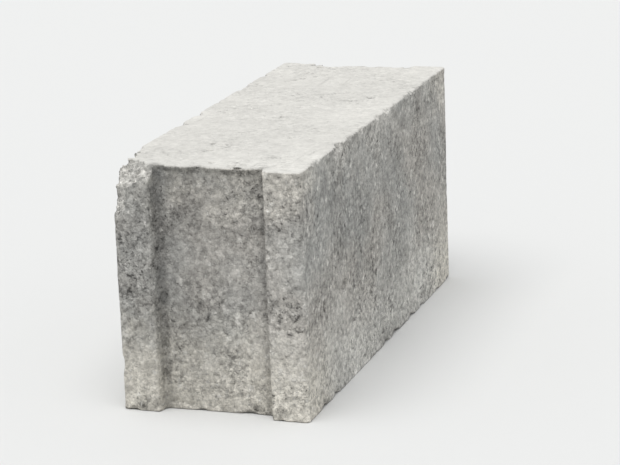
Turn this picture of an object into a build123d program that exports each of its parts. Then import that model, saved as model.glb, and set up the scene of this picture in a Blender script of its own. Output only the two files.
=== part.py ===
from build123d import *

import os
from math import cos, radians, tan

# The block, in millimetres: origin at the middle of the underside, +Z up, +Y along the length
LENGTH = 400.0
WIDTH = 150.0
HEIGHT = 192.0

# The mortar key in each end, a shallow channel that runs the full height
KEY_WIDTH = 90.0
KEY_DEPTH = 10.0
KEY_WALL_SLANT = 15.0  # degrees that each side wall leans out towards the mouth

# Roundings in plan: the outer corners, the lips of a key and the corners of its floor
CORNER_RADIUS = 4.0
LIP_RADIUS = 2.5
FLOOR_CORNER_RADIUS = 3.0

# Roundings where the upright faces meet the beds
TOP_EDGE_RADIUS = 2.0
BOTTOM_EDGE_RADIUS = 1.2

# The most of a straight stretch that the rounding at one of its ends may take up
STRETCH_SHARE = 0.45
# The most that a bed's rounding may be of the tightest rounding in plan
EDGE_SHARE = 0.9


def flange_width():
    """Width of the flat end face on each side of a key."""
    return (WIDTH - KEY_WIDTH) / 2


def key_wall():
    """Length of a key's slanted side wall, from its lip to its floor."""
    return KEY_DEPTH / cos(radians(KEY_WALL_SLANT))


def key_floor():
    """Width of a key at its floor."""
    return KEY_WIDTH - 2 * KEY_DEPTH * tan(radians(KEY_WALL_SLANT))


def limited(radius, *stretches):
    """The radius, or less where a straight stretch beside it is too short for it."""
    return min(radius, *(STRETCH_SHARE * stretch for stretch in stretches))


def corner_radius():
    return limited(CORNER_RADIUS, flange_width())


def lip_radius():
    return limited(LIP_RADIUS, flange_width(), key_wall())


def floor_corner_radius():
    return limited(FLOOR_CORNER_RADIUS, key_wall(), key_floor())


def key_plan():
    """Plan of the key in the -Y end: a trapezium with its mouth on the end face."""
    face = -LENGTH / 2
    floor = face + KEY_DEPTH
    mouth_x, floor_x = KEY_WIDTH / 2, key_floor() / 2
    return Polygon((-mouth_x, face), (mouth_x, face), (floor_x, floor), (-floor_x, floor), align=None)


def within_flanges(point):
    """Whether a corner of the plan belongs to a key, not to the outer rectangle."""
    return abs(point.X) < WIDTH / 2 - flange_width() / 2


def below_lips(point):
    """Whether a corner of the plan lies in the deeper half of a key."""
    return abs(point.Y) < LENGTH / 2 - KEY_DEPTH / 2


def block_plan():
    """Plan of the block: a rectangle with a key let into each end, and every corner rounded."""
    key = key_plan()
    plan = Rectangle(WIDTH, LENGTH) - key - mirror(key, about=Plane.XZ)
    outer = [point for point in plan.vertices() if not within_flanges(point)]
    plan = fillet(outer, corner_radius())
    lips = [point for point in plan.vertices() if within_flanges(point) and not below_lips(point)]
    plan = fillet(lips, lip_radius())
    floor_corners = [point for point in plan.vertices() if within_flanges(point) and below_lips(point)]
    return fillet(floor_corners, floor_corner_radius())


def eased(body, height, radius):
    """The body with the rim of the bed at that height rounded all the way round."""
    rim = body.edges().filter_by_position(Axis.Z, height, height)
    return fillet(rim, min(radius, EDGE_SHARE * lip_radius()))


def block():
    """The whole block: its plan raised to full height, with the rims of both beds eased."""
    body = extrude(block_plan(), amount=HEIGHT)
    body = eased(body, HEIGHT, TOP_EDGE_RADIUS)
    return eased(body, 0, BOTTOM_EDGE_RADIUS)


os.makedirs("parts", exist_ok=True)
export_step(block(), "parts/block.step")
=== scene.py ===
import math

import bpy
import numpy as np
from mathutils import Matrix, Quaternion, Vector, kdtree, noise
from mathutils.geometry import delaunay_2d_cdt


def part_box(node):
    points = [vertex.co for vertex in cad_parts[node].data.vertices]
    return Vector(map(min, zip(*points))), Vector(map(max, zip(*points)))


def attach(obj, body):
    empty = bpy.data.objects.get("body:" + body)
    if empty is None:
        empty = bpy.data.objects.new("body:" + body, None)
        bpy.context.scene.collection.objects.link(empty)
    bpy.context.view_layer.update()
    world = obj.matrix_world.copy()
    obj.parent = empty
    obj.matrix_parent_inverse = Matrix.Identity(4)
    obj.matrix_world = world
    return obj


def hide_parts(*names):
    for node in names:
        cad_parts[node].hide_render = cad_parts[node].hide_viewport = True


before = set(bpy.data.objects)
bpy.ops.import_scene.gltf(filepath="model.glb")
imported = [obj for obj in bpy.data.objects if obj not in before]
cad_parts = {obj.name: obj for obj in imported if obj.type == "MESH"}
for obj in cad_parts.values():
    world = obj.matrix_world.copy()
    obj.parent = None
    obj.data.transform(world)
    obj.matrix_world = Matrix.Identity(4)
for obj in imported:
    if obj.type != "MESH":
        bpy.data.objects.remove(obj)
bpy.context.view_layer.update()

MM = 0.001
SEED = 17
rng = np.random.default_rng(SEED)

# The plan of the CAD solid: the frame gives its outer size, its key and roundings are repeated here
LOW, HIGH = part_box("block")
HALF_WIDTH, HALF_LENGTH, HEIGHT = HIGH.x, HIGH.y, HIGH.z
KEY_WIDTH = 90 * MM
KEY_DEPTH = 10 * MM
KEY_WALL_SLANT = math.radians(15)
CORNER_RADIUS = 4 * MM
LIP_RADIUS = 2.5 * MM
FLOOR_CORNER_RADIUS = 3 * MM
TOP_EDGE_RADIUS = 2 * MM
BOTTOM_EDGE_RADIUS = 1.2 * MM

# Where a key's mouth and its floor end across the block, and where its floor lies along the block
MOUTH_X = KEY_WIDTH / 2
FLOOR_X = MOUTH_X - KEY_DEPTH * math.tan(KEY_WALL_SLANT)
FLOOR_Y = HALF_LENGTH - KEY_DEPTH

# Spacing of the mesh: fine beside the arrises, where the chips are, and coarser across the faces
FINE_STEP = 0.9 * MM
COARSE_STEP = 2.05 * MM
STEP_GROWTH = 1.12
TOP_EDGE_STEPS = 3
BOTTOM_EDGE_STEPS = 2

# The same for the points within the beds
FINE_BED_STEP = 1.35 * MM
FINE_BED_REACH = 7 * MM
TOP_BED_STEP = 2.3 * MM
UNDERSIDE_STEP = 5 * MM
RIM_CLEARANCE = 0.75  # the least distance from the rim, over the fine step
SCATTER = 0.16  # how far the points stray from their grid, over its step

# How the beds are triangulated: what lies inside the rim is kept, and points this close are one
INSIDE_ONLY = 1
SAME_POINT = 1e-9

# How far the mesh stays inside the solid's box at the least
BOX_CLEARANCE = 0.02 * MM

# Smooth noise: its fall and shrinkage from octave to octave, its gain, and the shift to its next place
OCTAVE_FALL = 0.7
OCTAVE_SHRINKAGE = 2.0
NOISE_GAIN = 0.55
PLACE_SHIFT = (31.7, -17.3, 11.9)

# Leaves the height out of a point, so that noise there doesn't change up the block
IN_PLAN = (1, 1, 0)

# The marks that the mould leaves, as (depth, size), from broad waves over mottle to single grains
MOULD_MARKS = [
    (0.5 * MM, 55 * MM),
    (0.32 * MM, 11 * MM),
    (0.3 * MM, 3.6 * MM),
]
MARK_OCTAVES = 2
BED_CALM = 0.55  # the share of the marks that the upper bed goes without

# Single pits at random places
PIT_COUNT = 620
PIT_RADIUS = (1.9 * MM, 4.2 * MM)
PIT_SHARE = 0.4  # depth of a pit over its radius
BED_PIT_LOSS = 0.6  # the share of its pits that the upper bed goes without
FACING_UP = 0.5  # the least height of the normal of a point on the upper bed

# The share of that depth that is left at the rims of the beds, and how far from them it is whole
RIM_SHARE = 0.3
RIM_REACH = 5 * MM
RIM_TILTS = (0.05, 0.95)  # between them is the height of the normals on a rim's rounding

# One larger hole in the long face on the +X side, where a lump has come away
HOLE_PLACE = np.array((HALF_WIDTH, -104 * MM, 80 * MM))
HOLE_HALF_SIZE = np.array((20.0, 6.5, 4.2)) * MM
HOLE_DEPTH = 6.5 * MM
HOLE_FULLNESS = 0.6  # a power: below 1 the hole has steeper sides and a flatter floor

# A thin ragged fin that the press leaves along the top of each key
BURR_REACH = 3.6 * MM
BURR_HEIGHT = 2.9 * MM
BURR_LOSS = 0.5 * MM  # the wear that takes it off
BURR_ROOT = 0.25  # the share of its height over which it grows out of the floor
BURR_SIDE_CLEARANCE = 5 * MM  # from the sides of the mouth
BURR_END_CLEARANCE = 4 * MM  # from the end face
BURR_BED_REACH = 3 * MM  # how far onto the bed its top reaches
BURR_TEETH = 11 * MM
BURR_GAIN = 1.7  # what the noise of its teeth is multiplied by
BURR_GAPS = 0.15  # what is then taken from it, which leaves gaps

# Chips: how far apart they lie on average on each kind of arris
CORNER_SPACING = 15 * MM
LIP_SPACING = 24 * MM
RIM_SPACING = 9 * MM
KEY_RIM_SPACING = 21 * MM
KEY_RIM_CLEARANCE = 12 * MM  # from the sides of the mouth to the first chip

# The size of a chip: a number of millimetres whose logarithm has this mean and spread, within limits
CHIP_LOG_MEAN, CHIP_LOG_SPREAD = -0.35, 0.85
CHIP_LIMITS = (0.2, 3.6)
CHIP_CUT = 0.9 * MM  # added to the size, it is how deep a chip cuts below the sharp arris
CHIP_RADIUS = (2.0, 6.0)  # the radius of its scoop over its size
CHIP_TILT = 0.22  # how far the way that it faces strays
CHIP_MARGIN = 1.3  # how far its points are looked for, over its own reach

# How large the chips on the upright arrises are beside those on the rims of the beds
UPRIGHT_SHARE = 0.55

# The broken corner, away from the camera: breaks as (place, way it faces, cut, radius of the scoop)
CORNER = np.array((-HALF_WIDTH, -HALF_LENGTH, HEIGHT))
LOST_PIECES = [
    (CORNER, (-0.40, -0.57, 0.72), 18.5 * MM, 220 * MM),
    (CORNER + (20 * MM, 0, -2 * MM), (0.05, -0.72, 0.70), 9.0 * MM, 40 * MM),
    (CORNER + (0, 30 * MM, -2 * MM), (-0.80, 0.05, 0.60), 7.5 * MM, 30 * MM),
    (CORNER + (0, 52 * MM, 0), (-0.75, 0.0, 0.80), 4.2 * MM, 18 * MM),
    (CORNER + (4 * MM, 2 * MM, -27 * MM), (-0.60, -0.75, 0.28), 5.5 * MM, 24 * MM),
]

# The lumps in its breaks, coarse ones and a share of fine ones
LUMP_HEIGHT = 4.6 * MM
COARSE_LUMP = 10 * MM
FINE_LUMP = 3.6 * MM
FINE_LUMP_SHARE = 0.7

# The painted shade in a key's floor corners
CREASE_REACH = 5.5 * MM
CREASE_WIDENING = 0.8  # a power: below 1 it widens the shade

# The ragged painted shadow under the burr
SHADE_DROP = 1.4 * MM  # from the burr down to the shade's middle
SHADE_REACH = 1.8 * MM
SHADE_STRENGTH = 1.4
SHADE_TEETH = 14 * MM
SHADE_LEAST = 0.45

# The painted shade in the hole, which deepens upwards from its value at the middle
HOLE_SHADE = 1.3
HOLE_SHADE_MIDDLE = 0.6
HOLE_SHADE_RISE = 5 * MM

# The recess of a key: it ends this far inside the sides of the mouth, and this far behind the key's floor
RECESS_INSET = 1 * MM
RECESS_BEHIND = 2 * MM

# How broken a point looks: partly by the time it is chipped, wholly once it is deep in a fracture
CHIPPED_BY = 2.2 * MM
CHIPPED_SHARE = 0.45
FRACTURE_START = 2.5 * MM
FRACTURE_REACH = 3 * MM

# The camera: the photograph's viewing angle on a block that stands end-on
AZIMUTH = math.radians(19)
ELEVATION = math.radians(15)
ROLL = math.radians(2.2)
DISTANCE = 1.92
LENS = 136
TARGET = Vector((0.012, 0.0, 0.091))

# The light: a soft sky, what is seen in its place, and one broad lamp above and a little in front
SKY_COLOUR = (0.96, 0.98, 1.0, 1)
SKY_STRENGTH = 0.52
BACKDROP_COLOUR = (0.90, 0.90, 0.90, 1)
BACKDROP_STRENGTH = 1.0
LAMP_DIRECTION = Vector((-0.04, -0.26, 1.0))
LAMP_STRENGTH = 2.4
LAMP_SPREAD = math.radians(55)

# The floor that the block stands on
FLOOR_REACH = 12
FLOOR_COLOUR = (0.70, 0.70, 0.69, 1)
FLOOR_ROUGHNESS = 0.9
FLOOR_SHINE = 0.1


# The plan of the block, and the smooth block raised from it

def plan_corners():
    """Corners of the plan, anticlockwise, as (x, y, radius)."""
    half = [
        (HALF_WIDTH, HALF_LENGTH, CORNER_RADIUS),
        (MOUTH_X, HALF_LENGTH, LIP_RADIUS),
        (FLOOR_X, FLOOR_Y, FLOOR_CORNER_RADIUS),
        (-FLOOR_X, FLOOR_Y, FLOOR_CORNER_RADIUS),
        (-MOUTH_X, HALF_LENGTH, LIP_RADIUS),
        (-HALF_WIDTH, HALF_LENGTH, CORNER_RADIUS),
    ]
    return half + [(-x, -y, radius) for x, y, radius in half]


def graded(length):
    """Distances from 0 to length, close together at both ends and further apart between them."""
    steps = [FINE_STEP]
    while sum(steps) < length / 2:
        steps.append(min(COARSE_STEP, steps[-1] * STEP_GROWTH))
    half = np.array(steps) * (length / 2 / sum(steps))
    return np.concatenate([[0], np.cumsum(np.concatenate([half, half[::-1]]))])


def corner_arc(before, corner, after, radius):
    """Points along the rounding of a corner of the plan, each with its outward normal."""
    came, goes = corner - before, after - corner
    came, goes = came / np.linalg.norm(came), goes / np.linalg.norm(goes)
    turn = math.atan2(came[0] * goes[1] - came[1] * goes[0], came @ goes)
    side = math.copysign(1, turn)
    inward = np.array([-came[1], came[0]]) * side
    cut = radius * math.tan(abs(turn) / 2)
    centre = corner - came * cut + inward * radius
    steps = max(2, round(radius * abs(turn) / FINE_STEP))
    arc = []
    for step in range(steps + 1):
        angle = turn * step / steps
        spin = np.array([[math.cos(angle), -math.sin(angle)], [math.sin(angle), math.cos(angle)]])
        away = spin @ -inward
        arc.append((centre + away * radius, away * side))
    return arc


def outline():
    """Points round the plan with their outward normals, two arrays of (x, y)."""
    corners = plan_corners()
    places = [np.array((x, y)) for x, y, _ in corners]
    radii = [radius for _, _, radius in corners]
    followers = places[1:] + places[:1]
    arcs = [corner_arc(places[i - 1], places[i], followers[i], radii[i]) for i in range(len(corners))]
    points, normals = [], []
    for arc, following in zip(arcs, arcs[1:] + arcs[:1]):
        for point, normal in arc:
            points.append(point)
            normals.append(normal)
        start, normal = arc[-1]
        run = following[0][0] - start
        length = np.linalg.norm(run)
        for along in graded(length)[1:-1]:
            points.append(start + run * (along / length))
            normals.append(normal)
    return np.array(points), np.array(normals)


def rim_rounding(radius, steps):
    """The quarter round from a wall to a bed, as (inset, distance to the bed, tilt of the normal)."""
    angles = [math.pi / 2 * step / steps for step in range(steps + 1)]
    return [(radius * (1 - math.cos(angle)), radius * (1 - math.sin(angle)), angle) for angle in angles]


def side_rows():
    """The upright profile from the lower bed to the upper one, as (inset, z, tilt of the normal)."""
    bottom = rim_rounding(BOTTOM_EDGE_RADIUS, BOTTOM_EDGE_STEPS)
    top = rim_rounding(TOP_EDGE_RADIUS, TOP_EDGE_STEPS)
    wall = HEIGHT - TOP_EDGE_RADIUS - BOTTOM_EDGE_RADIUS
    rows = [(inset, away, -tilt) for inset, away, tilt in reversed(bottom)]
    rows += [(0, BOTTOM_EDGE_RADIUS + along, 0) for along in graded(wall)[1:-1]]
    rows += [(inset, HEIGHT - away, tilt) for inset, away, tilt in top]
    return rows


def tree_of(points):
    """A search tree of the points, which finds those near a place."""
    tree = kdtree.KDTree(len(points))
    for i, point in enumerate(points):
        tree.insert(point, i)
    tree.balance()
    return tree


def inside(points, loop):
    """Whether each point lies in the closed loop."""
    x, y = points[:, :1], points[:, 1:]
    start_x, start_y = loop[:, 0], loop[:, 1]
    end_x, end_y = np.roll(start_x, -1), np.roll(start_y, -1)
    spans = (start_y > y) != (end_y > y)
    with np.errstate(divide="ignore", invalid="ignore"):
        crossing = (end_x - start_x) * (y - start_y) / (end_y - start_y) + start_x
    return (spans & (x < crossing)).sum(1) % 2 == 1


def bed_points(loop, step):
    """Points that fill a bed: close together near its rim, a step apart elsewhere, a little scattered."""
    rim = tree_of(np.column_stack([loop, np.zeros(len(loop))]))
    found = []
    for pitch, nearest, furthest in (
        (FINE_BED_STEP, RIM_CLEARANCE * FINE_BED_STEP, FINE_BED_REACH),
        (step, FINE_BED_REACH + step / 2, math.inf),
    ):
        xs = np.arange(-HALF_WIDTH, HALF_WIDTH, pitch)
        ys = np.arange(-HALF_LENGTH, HALF_LENGTH, pitch * math.sqrt(3) / 2)
        grid = np.array([(x + (row % 2) * pitch / 2, y) for row, y in enumerate(ys) for x in xs])
        grid += rng.uniform(-SCATTER, SCATTER, grid.shape) * pitch
        grid = grid[inside(grid, loop)]
        away = np.array([rim.find((x, y, 0))[2] for x, y in grid])
        found.append(grid[(away > nearest) & (away <= furthest)])
    return np.concatenate(found)


def bed_faces(loop, filling):
    """Triangles over a bed, as indices into the loop's points followed by the filling's."""
    count = len(loop)
    points = [Vector(point) for point in np.concatenate([loop, filling])]
    rim = [(i, (i + 1) % count) for i in range(count)]
    placed, _, faces, origins, _, _ = delaunay_2d_cdt(points, rim, [], INSIDE_ONLY, SAME_POINT)
    if len(placed) != len(points):
        raise RuntimeError("the bed's points don't stay apart")
    back = [origin[0] for origin in origins]
    return [[back[i] for i in face] for face in faces]


def wall_faces(rows, columns):
    """Faces of four corners between rings of points that follow each other up the block."""
    faces = []
    for row in range(rows - 1):
        lower, upper = row * columns, (row + 1) * columns
        for i in range(columns):
            j = (i + 1) % columns
            faces.append((lower + i, lower + j, upper + j, upper + i))
    return faces


def smooth_block():
    """The block before wear: points, normals, the way out in plan, and faces of three or four corners."""
    plan, plan_normals = outline()
    rows = side_rows()
    columns = len(plan)
    points, normals, outwards = [], [], []
    for inset, z, tilt in rows:
        ring = plan - plan_normals * inset
        points.append(np.column_stack([ring, np.full(columns, z)]))
        normals.append(np.column_stack([plan_normals * math.cos(tilt), np.full(columns, math.sin(tilt))]))
        outwards.append(np.column_stack([plan_normals, np.zeros(columns)]))
    faces = wall_faces(len(rows), columns)
    used = len(rows) * columns
    for row, step, up in ((0, UNDERSIDE_STEP, -1), (len(rows) - 1, TOP_BED_STEP, 1)):
        loop = points[row][:, :2]
        filling = bed_points(loop, step)
        z = points[row][0, 2]
        for face in bed_faces(loop, filling):
            ids = [row * columns + i if i < columns else used + i - columns for i in face]
            faces.append(ids[::up])
        points.append(np.column_stack([filling, np.full(len(filling), z)]))
        normals.append(np.tile((0.0, 0.0, float(up)), (len(filling), 1)))
        outwards.append(np.zeros((len(filling), 3)))
        used += len(filling)
    return np.concatenate(points), np.concatenate(normals), np.concatenate(outwards), faces


# Wear and texture in the mesh

def ripple(points, size, octaves, place):
    """Smooth noise from 0 to 1 at each point, with features of that size and a pattern for each place."""
    shift = Vector([step * place for step in PLACE_SHIFT])
    values = [
        noise.fractal(Vector(point) / size + shift, OCTAVE_FALL, OCTAVE_SHRINKAGE, octaves)
        for point in points
    ]
    return np.clip(0.5 + NOISE_GAIN * np.array(values), 0, 1)


def in_hole(points):
    """From 0 at the rim of the hole in the long face to 1 at its middle."""
    away = (points - HOLE_PLACE) / HOLE_HALF_SIZE
    return np.clip(1 - (away ** 2).sum(1), 0, 1)


def texture_depth(points, normals):
    """How far each point sinks below the moulded face, from the mould's marks, the pits and the hole."""
    depth = np.zeros(len(points))
    for place, (deepest, size) in enumerate(MOULD_MARKS, 1):
        depth += deepest * ripple(points, size, MARK_OCTAVES, place)
    depth *= 1 - BED_CALM * np.clip(normals[:, 2], 0, 1)
    tree = tree_of(points)
    for centre in rng.integers(0, len(points), PIT_COUNT):
        radius = rng.uniform(*PIT_RADIUS)
        if normals[centre, 2] > FACING_UP and rng.uniform() < BED_PIT_LOSS:
            continue
        for _, i, away in tree.find_range(points[centre], radius):
            depth[i] += radius * PIT_SHARE * (1 - (away / radius) ** 2)
    tilt = np.abs(normals[:, 2])
    least, most = RIM_TILTS
    rims = tree_of(points[(tilt > least) & (tilt < most)])
    away = np.array([rims.find(point)[2] for point in points])
    depth *= RIM_SHARE + (1 - RIM_SHARE) * np.clip(away / RIM_REACH, 0, 1)
    return depth + HOLE_DEPTH * in_hole(points) ** HOLE_FULLNESS


def burr(points):
    """How far each point at the top of a key stands out of the key's floor."""
    x, y, z = np.abs(points[:, 0]), np.abs(points[:, 1]), points[:, 2]
    in_key = (x < MOUTH_X - BURR_SIDE_CLEARANCE) & (y < HALF_LENGTH - BURR_END_CLEARANCE)
    near_end = y > FLOOR_Y - BURR_BED_REACH
    teeth = ripple(points * IN_PLAN, BURR_TEETH, octaves=3, place=7)
    ragged = np.clip(BURR_GAIN * teeth - BURR_GAPS, 0, 1)
    grown = np.clip((z - HEIGHT + BURR_HEIGHT) / (BURR_ROOT * BURR_HEIGHT), 0, 1)
    return BURR_REACH * ragged * grown * (in_key & near_end)


def lumps(points):
    """The rough of a break, coarse and fine lumps together, as far below 0 as above it."""
    coarse = ripple(points, COARSE_LUMP, octaves=3, place=9)
    fine = ripple(points, FINE_LUMP, octaves=2, place=10)
    return coarse + FINE_LUMP_SHARE * fine - (1 + FINE_LUMP_SHARE) / 2


def chip(points, worn, tree, place, facing, cut, radius, lump_height=0):
    """Breaks a scoop of that radius out of an arris: moves the points and notes how far each has gone."""
    facing = facing / np.linalg.norm(facing)
    reach = math.sqrt(2 * radius * cut) + cut
    near = [i for _, i, _ in tree.find_range(place, reach * CHIP_MARGIN)]
    if not near:
        return
    away = points[near] - place
    height = away @ facing
    sideways = (away ** 2).sum(1) - height ** 2
    broken = height + cut - sideways / (2 * radius)
    if lump_height:
        broken += lump_height * lumps(points[near])
    broken = np.clip(broken, 0, None)
    points[near] -= broken[:, None] * facing
    worn[near] = np.maximum(worn[near], broken)


def arrises():
    """Every arris: its two ends, the way a chip there faces, and how far apart and how large chips are."""
    x, y, z = HALF_WIDTH, HALF_LENGTH, HEIGHT
    beds = ((z, 1), (0, -1))
    clear = MOUTH_X - KEY_RIM_CLEARANCE
    for end in (-1, 1):
        face, floor = end * y, end * FLOOR_Y
        for side in (-1, 1):
            corner, lip = side * x, side * MOUTH_X
            yield (corner, face, 0), (corner, face, z), (side, end, 0), CORNER_SPACING, UPRIGHT_SHARE
            yield (lip, face, 0), (lip, face, z), (-side, end, 0), LIP_SPACING, UPRIGHT_SHARE
            for level, up in beds:
                yield (lip, face, level), (corner, face, level), (0, end, up), RIM_SPACING, 1
        for level, up in beds:
            yield (-clear, floor, level), (clear, floor, level), (0, end, up), KEY_RIM_SPACING, 1
    for side in (-1, 1):
        for level, up in beds:
            yield (side * x, -y, level), (side * x, y, level), (side, 0, up), RIM_SPACING, 1


def break_arrises(points):
    """Chips every arris at random, then breaks the lost corner off. Returns how far each point went."""
    worn = np.zeros(len(points))
    tree = tree_of(points)
    for start, end, facing, spacing, share in arrises():
        start, run = np.array(start), np.array(end) - np.array(start)
        facing = np.array(facing) / np.linalg.norm(facing)
        for _ in range(int(np.linalg.norm(run) / spacing)):
            place = start + run * rng.uniform(0, 1)
            size = float(np.clip(rng.lognormal(CHIP_LOG_MEAN, CHIP_LOG_SPREAD), *CHIP_LIMITS))
            size = share * size * MM
            tilted = facing + rng.normal(0, CHIP_TILT, 3)
            chip(points, worn, tree, place, tilted, CHIP_CUT + size, size * rng.uniform(*CHIP_RADIUS))
    for place, facing, cut, radius in LOST_PIECES:
        chip(points, worn, tree_of(points), place, np.array(facing), cut, radius, LUMP_HEIGHT)
    return worn


def recess_of(points):
    """1 on the floor and walls of a key, 0 elsewhere."""
    in_mouth = np.abs(points[:, 0]) < MOUTH_X - RECESS_INSET
    at_end = np.abs(points[:, 1]) > FLOOR_Y - RECESS_BEHIND
    return (in_mouth & at_end).astype(float)


def painted_shade_of(points):
    """How much painted shade each point gets by a floor corner of a key, by its burr or by the hole, from
    0 up.
    """
    across = np.abs(np.abs(points[:, 0]) - FLOOR_X)
    along = np.abs(np.abs(points[:, 1]) - FLOOR_Y)
    corner = np.clip(1 - np.hypot(across, along) / CREASE_REACH, 0, 1) ** CREASE_WIDENING
    away = np.abs(points[:, 2] - (HEIGHT - BURR_HEIGHT - SHADE_DROP))
    ragged = ripple(points * IN_PLAN, SHADE_TEETH, octaves=2, place=12)
    under_burr = np.clip(SHADE_STRENGTH - away / SHADE_REACH, 0, 1) * recess_of(points)
    under_burr *= SHADE_LEAST + ragged
    deepening = np.clip(HOLE_SHADE_MIDDLE + (points[:, 2] - HOLE_PLACE[2]) / HOLE_SHADE_RISE, 0, 1)
    return np.maximum(np.maximum(corner, under_burr), HOLE_SHADE * (in_hole(points) * deepening))


def broken_of(worn):
    """How much each point looks like broken concrete, from 0 to 1."""
    chipped = np.clip(worn / CHIPPED_BY, 0, 1)
    fractured = np.clip((worn - FRACTURE_START) / FRACTURE_REACH, 0, 1)
    return CHIPPED_SHARE * chipped + (1 - CHIPPED_SHARE) * fractured


def attribute(mesh, name, values):
    """Gives the mesh a value from 0 to 1 at each point, which the material reads by its name."""
    made = mesh.attributes.new(name, "FLOAT", "POINT")
    made.data.foreach_set("value", np.clip(values, 0, 1).astype(np.float32))


def weathered_block():
    """The whole block as one closed mesh, textured, chipped and with its broken corner."""
    points, normals, outwards, faces = smooth_block()
    recess, painted_shade, fin = recess_of(points), painted_shade_of(points), burr(points)
    points -= texture_depth(points, normals)[:, None] * normals
    worn = break_arrises(points)
    points += (fin * np.clip(1 - worn / BURR_LOSS, 0, 1))[:, None] * outwards
    points = np.clip(points, np.array(LOW) + BOX_CLEARANCE, np.array(HIGH) - BOX_CLEARANCE)
    mesh = bpy.data.meshes.new("concrete_block")
    mesh.from_pydata(points.tolist(), [], faces)
    mesh.polygons.foreach_set("use_smooth", [True] * len(mesh.polygons))
    attribute(mesh, "broken", broken_of(worn))
    # The keys' recesses, which the material paints darker as shade and which bound the painted shadow
    # under the burr
    attribute(mesh, "recess", recess)
    # Painted shade: the keys' floor corners, the shadow under the burr and the upper part of the hole
    attribute(mesh, "painted_shade", painted_shade)
    mesh.update()
    return bpy.data.objects.new("concrete_block", mesh)


# A short way to write nodes

class Field:
    """An output of a node. Numbers and other fields can be added to it, subtracted and multiplied."""

    def __init__(self, nodes, socket):
        self.nodes = nodes
        self.socket = socket

    def __add__(self, other):
        return self.nodes.calculate("ADD", self, other)

    def __sub__(self, other):
        return self.nodes.calculate("SUBTRACT", self, other)

    def __rsub__(self, other):
        return self.nodes.calculate("SUBTRACT", other, self)

    def __mul__(self, other):
        return self.nodes.calculate("MULTIPLY", self, other)


class Nodes:
    """The nodes of a material or of the world."""

    def __init__(self, owner):
        owner.use_nodes = True
        self.tree = owner.node_tree
        self.tree.nodes.clear()

    def new(self, kind, inputs=None, **settings):
        """A new node, with each input set to a value or linked to a field."""
        made = self.tree.nodes.new(kind)
        for name, value in settings.items():
            setattr(made, name, value)
        for name, value in (inputs or {}).items():
            if isinstance(value, Field):
                self.tree.links.new(value.socket, made.inputs[name])
            else:
                made.inputs[name].default_value = value
        return made

    def add(self, kind, inputs=None, output=0, **settings):
        """A new node's output, its first unless another is named."""
        return Field(self, self.new(kind, inputs, **settings).outputs[output])

    def calculate(self, operation, first, second=0.0):
        """The operation on two numbers, of which at least one is a field."""
        return self.add("ShaderNodeMath", {0: first, 1: second}, operation=operation)

    def vector(self, operation, first, second):
        """The operation on two vectors or colours, part by part."""
        return self.add("ShaderNodeVectorMath", {0: first, 1: second}, operation=operation)

    def scaled(self, colour, factor):
        """The colour times a number."""
        factors = self.add("ShaderNodeCombineXYZ", {"X": factor, "Y": factor, "Z": factor})
        return self.vector("MULTIPLY", colour, factors)

    def mix(self, share, colour, other):
        """The colour where the share is 0, the other where it is 1."""
        # The inputs 6 and 7 and the output 2 of this kind of node are those for colours
        inputs = {0: share, 6: colour, 7: other}
        return self.add("ShaderNodeMix", inputs, output=2, data_type="RGBA")

    def ramp(self, value, low, high, to_low=0.0, to_high=1.0):
        """The value carried smoothly from low and high to to_low and to_high, and level beyond them."""
        return self.add("ShaderNodeMapRange", {
            "Value": value, "From Min": low, "From Max": high, "To Min": to_low, "To Max": to_high,
        }, interpolation_type="SMOOTHSTEP")

    def noise(self, where, size, detail, roughness):
        """Noise from 0 to 1, with features of that size."""
        return self.add("ShaderNodeTexNoise", {
            "Vector": where, "Scale": 1 / size, "Detail": detail, "Roughness": roughness,
        })


# The concrete: its colours

COOL_GREY = (0.390, 0.386, 0.367, 1)
WARM_GREY = (0.442, 0.421, 0.389, 1)
PALE_GREY = (0.668, 0.655, 0.615, 1)
PALE_BUFF = (0.690, 0.656, 0.584, 1)
PALE_SAND = (0.680, 0.662, 0.620, 1)
# The upper bed's colour: the paler paste that pressing leaves there, and painted light where the sky falls
# strongest on the bed
PASTE_AND_PAINTED_LIGHT = (0.625, 0.610, 0.572, 1)
FRACTURE = (0.660, 0.642, 0.600, 1)

# How much of these a whole break, crumb and pale stone shows
BREAK_SHARE = 0.9
CRUMB_SHARE = 0.78
STONE_SHARE = 0.55

# The paler foot, partly the block's own paler tone and partly painted light that offsets the shade near
# the floor: where it begins, where it is whole, and how pale it gets
FOOT_TOP = 98 * MM
FOOT_WHOLE = 6 * MM
FOOT_PALENESS = 0.95

# The paler head, the same from the upper bed down
HEAD_DEPTH = 42 * MM
HEAD_WHOLE = 2 * MM
HEAD_PALENESS = 0.36

# How far noise moves the edges of both, and how far in from the ends they turn buff
BAND_WAVER = 90 * MM
BUFF_DEPTH = 90 * MM
BUFF_WHOLE = 12 * MM

# The skin of fine paste on the upper bed, which is also painted lighter for the light that falls on it,
# and how much it takes from the grain and from the broad tones
SKIN_DEPTH = 1.6 * MM
SKIN_WHOLE = 0.5 * MM
SKIN_CALM = 0.74
SKIN_EVENNESS = 0.65

# The middle of a noise, and how far it usually strays from there
MIDDLE = 0.5
NOISE_SWING = 0.25

# Noises, as (size, detail, roughness), from the broadest down to single grains of sand
NOISES = {
    "broad": (150 * MM, 2, 0.55),
    "patches": (90 * MM, 3, 0.55),
    "scraped": (70 * MM, 2, 0.55),
    "openness": (42 * MM, 3, 0.55),
    "clouds": (34 * MM, 3, 0.55),
    "mottle": (14 * MM, 4, 0.6),
    "clumps": (4.6 * MM, 3, 0.7),
    "crumbs": (3.8 * MM, 4, 0.62),
    "sand": (1.1 * MM, 3, 0.75),
}

# Those that are there in some areas only, with the values of the noise at which they begin and are whole
AREAS = {
    "scraped": (0.5, 0.62),
    "openness": (0.34, 0.66),
    "crumbs": (0.55, 0.70),
}
WARM_AREAS = (0.36, 0.64)

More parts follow.
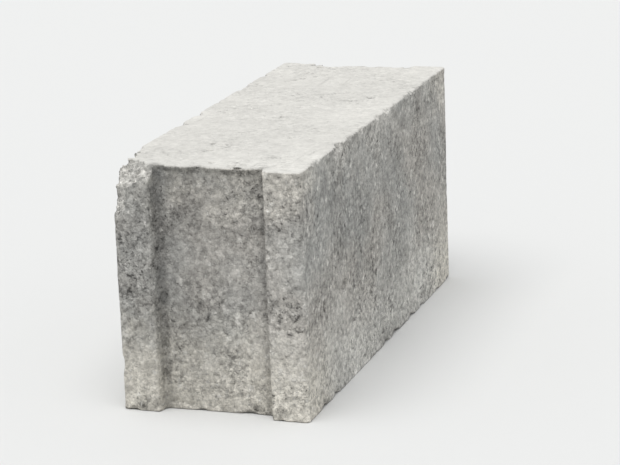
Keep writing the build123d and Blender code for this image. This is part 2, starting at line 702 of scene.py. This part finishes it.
# Packed grains: their sizes, how far they are stirred, and where their domes begin and are whole
FINE_GRAIN = 2.2 * MM
COARSE_GRAIN = 4.4 * MM
GRAIN_STIR = 0.7 * MM
GRAIN_DOME = (0.85, 0.05)

# Pale stones: the random values of the grains that are stones, and how domed they are where they show
STONE_CHANCE = (0.93, 0.97)
STONE_DOME = (0.25, 0.8)

# Ragged cavities, as (size, level of noise under which they lie on close faces, and on open ones)
CAVITIES = {
    "hollows": (4.6 * MM, 0.295, 0.365),
    "pores": (2.2 * MM, 0.32, 0.39),
}
CAVITY_SLOPE = 0.055

# Faint slanting drag marks: their slant, how often they change per metre of each axis, and their edges
SCRAPE_SLANT = math.radians(24)
SCRAPE_CHANGES = (450.0, 8.0, 450.0)
SCRAPE_EDGES = (0.62, 0.74)

# How strongly the grain shows on close faces, and what open ones add to that
CLOSE_GRAIN = 0.83
OPEN_GRAIN = 0.54

# The tone: how much of the colour each field adds, and the value at which it adds nothing
TONE = {
    "clumps": (1.3, MIDDLE),
    "coarse_tone": (0.24, MIDDLE),
    "fine_tone": (0.40, MIDDLE),
    "fine_dome": (0.16, MIDDLE),
    "sand": (0.70, MIDDLE),
    "hollows": (-0.42, 0),
    "pores": (-0.30, 0),
}
LEAST_TONE = 0.35

# Broad tones, as (low and high value of the noise, share of the colour that they take and add)
BROAD_TONES = {
    "mottle": (0.25, 0.75, 0.14),
    "clouds": (0.3, 0.7, 0.07),
    "broad": (0.32, 0.68, 0.12),
}

# How much of the colour the painted shade and the drag marks take, and the value at which they take
# nothing
PAINTED_SHADE_AND_DRAG_MARKS = {
    # painted shade in the keys' floor corners, under the burr and in the hole
    "painted_shade": (0.34, 0),
    # painted shade over the whole recess of each key
    "recess": (0.07, 0),
    "scrapes": (0.10, 0),
}

# The relief: how many steps each field raises the surface, and the value at which it doesn't
RELIEF = {
    "sand": (0.8, MIDDLE),
    "clumps": (1.3, MIDDLE),
    "fine_dome": (0.42, 0),
    "coarse_dome": (0.35, 0),
    "crumbs": (0.7, 0),
    "hollows": (-1.4, 0),
    "pores": (-0.8, 0),
}
SCRAPE_DEPTH = 0.35
RELIEF_STEP = 1 * MM

# How matt the concrete is, and the values of the sand's noise at which it is that
ROUGHNESS = (0.86, 0.97)
ROUGH_SAND = (0.3, 0.7)
SHINE = 0.25


def stirred(nodes, where, size, reach):
    """The coordinates moved about by noise of that size, up to about the reach."""
    drift = nodes.add("ShaderNodeTexNoise", {
        "Vector": where, "Scale": 1 / size, "Detail": 2.0,
    }, output="Color")
    drift = nodes.vector("SUBTRACT", drift, (MIDDLE,) * 3)
    drift = nodes.vector("MULTIPLY", drift, (reach / NOISE_SWING,) * 3)
    return nodes.vector("ADD", where, drift)


def grains(nodes, where, size):
    """Packed grains of that size: a random value for each, and how domed the surface is, from 0 to 1."""
    cells = nodes.new("ShaderNodeTexVoronoi", {"Vector": where, "Scale": 1 / size, "Randomness": 1.0})
    chance = nodes.add("ShaderNodeSeparateColor", {"Color": Field(nodes, cells.outputs["Color"])})
    return chance, nodes.ramp(Field(nodes, cells.outputs["Distance"]), *GRAIN_DOME)


def cavities(nodes, where, openness, size, close_level, open_level):
    """Ragged hollows from 0 to 1, where noise is under a level between those of close and open faces."""
    ragged = nodes.add("ShaderNodeTexNoise", {
        "Vector": where, "Scale": 1 / size, "Detail": 4.0, "Roughness": 0.62, "Distortion": 0.5,
    })
    level = nodes.add("ShaderNodeMapRange", {
        "Value": openness, "To Min": close_level, "To Max": open_level,
    })
    return nodes.ramp(level - ragged, 0.0, CAVITY_SLOPE)


def drag_marks(nodes, where):
    """Marks from 0 to 1, long in one direction and thin in the others."""
    turned = nodes.add("ShaderNodeMapping", {
        "Vector": where, "Rotation": (SCRAPE_SLANT, 0.0, 0.0), "Scale": SCRAPE_CHANGES,
    })
    streaks = nodes.add("ShaderNodeTexNoise", {"Vector": turned, "Scale": 1.0, "Detail": 2.0})
    return nodes.ramp(streaks, *SCRAPE_EDGES)


def concrete_fields(nodes):
    """What colour and relief are worked out from, by name: places, the mesh's own values and noises."""
    where = nodes.add("ShaderNodeTexCoord", output="Object")
    height = nodes.add("ShaderNodeSeparateXYZ", {"Vector": where}, output="Z")
    lengthways = nodes.add("ShaderNodeSeparateXYZ", {"Vector": where}, output="Y")
    upper_bed = nodes.ramp(height, HEIGHT - SKIN_DEPTH, HEIGHT - SKIN_WHOLE)
    fields = {
        "height": height,
        "from_middle": nodes.calculate("ABSOLUTE", lengthways),
        "upper_bed": upper_bed,
    }
    for name in ("broken", "painted_shade", "recess"):
        fields[name] = nodes.add("ShaderNodeAttribute", output="Fac", attribute_name=name)
    for name, (size, detail, roughness) in NOISES.items():
        fields[name] = nodes.noise(where, size, detail, roughness)
    for name, (begins, whole) in AREAS.items():
        fields[name] = nodes.ramp(fields[name], begins, whole)
    for name, (size, close_level, open_level) in CAVITIES.items():
        fields[name] = cavities(nodes, where, fields["openness"], size, close_level, open_level)
    stirred_place = stirred(nodes, where, FINE_GRAIN, GRAIN_STIR)
    fields["fine_tone"], fields["fine_dome"] = grains(nodes, stirred_place, FINE_GRAIN)
    coarse_tone, coarse_dome = grains(nodes, stirred_place, COARSE_GRAIN)
    fields["coarse_tone"], fields["coarse_dome"] = coarse_tone, coarse_dome
    fields["pale_stones"] = nodes.ramp(coarse_tone, *STONE_CHANCE) * nodes.ramp(coarse_dome, *STONE_DOME)
    fields["scrapes"] = drag_marks(nodes, where) * fields["scraped"]
    fields["grain"] = (fields["openness"] * OPEN_GRAIN + CLOSE_GRAIN) * (1 - upper_bed * SKIN_CALM)
    return fields


def total(terms):
    """The sum of some fields."""
    first, *others = terms
    return sum(others, first)


def weighed(fields, weights):
    """The sum of the fields in a table, each counted from the value given there and times its weight."""
    return total([(fields[name] - zero) * weight for name, (weight, zero) in weights.items()])


def concrete_paint(nodes, fields):
    """The colour before light and dark: layers that each cover the ones before by their own share."""
    waver = (fields["mottle"] - MIDDLE) + (fields["patches"] - MIDDLE)
    level = fields["height"] + waver * BAND_WAVER
    # The paler foot: partly its own tone, partly painted light against the shade by the floor
    foot = nodes.ramp(level, FOOT_TOP, FOOT_WHOLE, to_high=FOOT_PALENESS)
    head = nodes.ramp(level, HEIGHT - HEAD_DEPTH, HEIGHT - HEAD_WHOLE, to_high=HEAD_PALENESS)
    buff = nodes.ramp(fields["from_middle"], HALF_LENGTH - BUFF_DEPTH, HALF_LENGTH - BUFF_WHOLE)
    paint = COOL_GREY
    for share, colour in (
        (nodes.ramp(fields["patches"], *WARM_AREAS), WARM_GREY),
        (nodes.calculate("MAXIMUM", foot, head), nodes.mix(buff, PALE_GREY, PALE_BUFF)),
        # the upper bed, paler as paste and as painted light
        (fields["upper_bed"], PASTE_AND_PAINTED_LIGHT),
        (fields["broken"] * BREAK_SHARE, FRACTURE),
        (fields["crumbs"] * CRUMB_SHARE, PALE_SAND),
        (fields["pale_stones"] * STONE_SHARE, PALE_SAND),
    ):
        paint = nodes.mix(share, paint, colour)
    return paint


def concrete_colour(nodes, fields):
    """The paint, made lighter and darker by grain and hollows, broad tones, painted shade and drag marks.
    """
    fine = nodes.calculate("MAXIMUM", weighed(fields, TONE) * fields["grain"] + 1, LEAST_TONE)
    broad = total([
        nodes.ramp(fields[name], low, high, -swing, swing)
        for name, (low, high, swing) in BROAD_TONES.items()
    ])
    broad = broad * (1 - fields["upper_bed"] * SKIN_EVENNESS) + 1
    colour = concrete_paint(nodes, fields)
    for factor in (fine, broad, 1 - weighed(fields, PAINTED_SHADE_AND_DRAG_MARKS)):
        colour = nodes.scaled(colour, factor)
    return colour


def concrete():
    """The material of the block."""
    material = bpy.data.materials.new("concrete")
    nodes = Nodes(material)
    fields = concrete_fields(nodes)
    relief = weighed(fields, RELIEF) * fields["grain"] - fields["scrapes"] * SCRAPE_DEPTH
    bump = nodes.add("ShaderNodeBump", {"Strength": 1.0, "Distance": RELIEF_STEP, "Height": relief})
    shader = nodes.add("ShaderNodeBsdfPrincipled", {
        "Base Color": concrete_colour(nodes, fields),
        "Roughness": nodes.ramp(fields["sand"], *ROUGH_SAND, *ROUGHNESS),
        "Normal": bump,
        "Specular IOR Level": SHINE,
    })
    nodes.new("ShaderNodeOutputMaterial", {"Surface": shader})
    return material


# The floor, the light and the camera

def floor():
    """A wide matt floor at the foot of the block."""
    material = bpy.data.materials.new("floor")
    nodes = Nodes(material)
    shader = nodes.add("ShaderNodeBsdfPrincipled", {
        "Base Color": FLOOR_COLOUR, "Roughness": FLOOR_ROUGHNESS, "Specular IOR Level": FLOOR_SHINE,
    })
    nodes.new("ShaderNodeOutputMaterial", {"Surface": shader})
    corners = [(x * FLOOR_REACH, y * FLOOR_REACH, 0) for x, y in ((-1, -1), (1, -1), (1, 1), (-1, 1))]
    mesh = bpy.data.meshes.new("floor")
    mesh.from_pydata(corners, [], [(0, 1, 2, 3)])
    mesh.materials.append(material)
    made = bpy.data.objects.new("floor", mesh)
    bpy.context.scene.collection.objects.link(made)


def light():
    """A soft sky, a pale backdrop where rays from the camera see it, and one broad lamp."""
    world = bpy.data.worlds.new("studio")
    bpy.context.scene.world = world
    nodes = Nodes(world)
    seen, mirrored, through = (
        nodes.add("ShaderNodeLightPath", output=name)
        for name in ("Is Camera Ray", "Is Glossy Ray", "Is Transmission Ray")
    )
    shown = nodes.calculate("MAXIMUM", nodes.calculate("MAXIMUM", seen, mirrored), through)
    sky = nodes.add("ShaderNodeBackground", {"Color": SKY_COLOUR, "Strength": SKY_STRENGTH})
    backdrop = nodes.add("ShaderNodeBackground", {
        "Color": BACKDROP_COLOUR, "Strength": BACKDROP_STRENGTH,
    })
    either = nodes.add("ShaderNodeMixShader", {0: shown, 1: sky, 2: backdrop})
    nodes.new("ShaderNodeOutputWorld", {"Surface": either})
    lamp = bpy.data.lights.new("key", "SUN")
    lamp.energy = LAMP_STRENGTH
    lamp.angle = LAMP_SPREAD
    made = bpy.data.objects.new("key", lamp)
    made.rotation_mode = "QUATERNION"
    made.rotation_quaternion = LAMP_DIRECTION.to_track_quat("Z", "Y")
    bpy.context.scene.collection.objects.link(made)


def camera():
    """The camera, which looks at the target from the photograph's angle."""
    made = bpy.data.objects.new("camera", bpy.data.cameras.new("camera"))
    made.data.lens = LENS
    level, up = math.cos(ELEVATION), math.sin(ELEVATION)
    back = Vector((math.sin(AZIMUTH) * level, -math.cos(AZIMUTH) * level, up))
    made.location = TARGET + back * DISTANCE
    made.rotation_mode = "QUATERNION"
    made.rotation_quaternion = Quaternion(back, -ROLL) @ (-back).to_track_quat("-Z", "Y")
    bpy.context.scene.collection.objects.link(made)
    bpy.context.scene.camera = made


bpy.context.scene.view_settings.view_transform = "Standard"
block = weathered_block()
block.data.materials.append(concrete())
bpy.context.scene.collection.objects.link(block)
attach(block, "root")
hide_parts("block")
floor()
light()
camera()
print("triangles", sum(len(face.vertices) - 2 for face in block.data.polygons))
